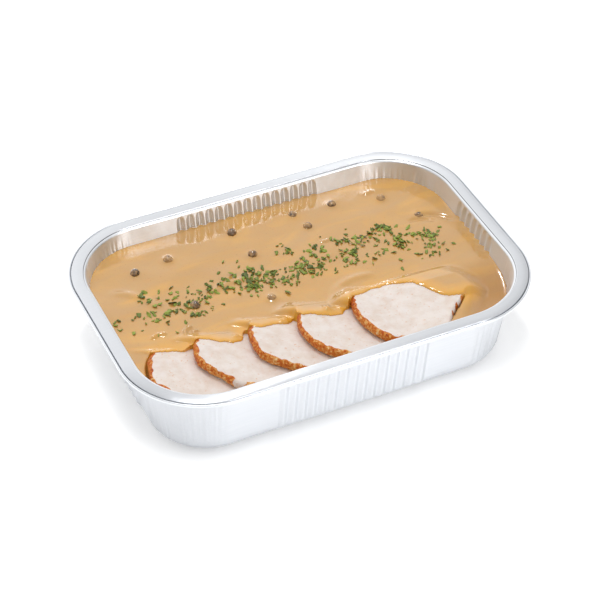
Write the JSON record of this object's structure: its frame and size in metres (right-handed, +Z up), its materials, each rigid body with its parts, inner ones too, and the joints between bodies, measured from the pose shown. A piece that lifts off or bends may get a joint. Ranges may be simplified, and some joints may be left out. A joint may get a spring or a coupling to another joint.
{
  "type": "foil tray meal",
  "caption": "Packed ready meal: shingled roast white meat slices in a thick cream and peppercorn sauce with parsley, in an open ribbed foil tray.",
  "frame": {"origin": "middle of the tray's flat bottom, on the surface it stands on", "axes": "+X along the tray's long side, +Y across it, away from the meat slices, +Z up"},
  "size_m": [0.227, 0.1554, 0.048],
  "materials": {
    "foil": "thin rolled foil, satin, bright on its rounded edges",
    "sauce": "thick glossy cream sauce with green herb flakes and brown peppercorns",
    "meat": "moist pale roast meat with a browned, seasoned edge"
  },
  "bodies": {
    "root": {"tray": "foil", "cream_sauce": "sauce", "meat_slice_1": "meat", "meat_slice_2": "meat", "meat_slice_3": "meat", "meat_slice_4": "meat", "meat_slice_5": "meat"}
  },
  "joints": []
}
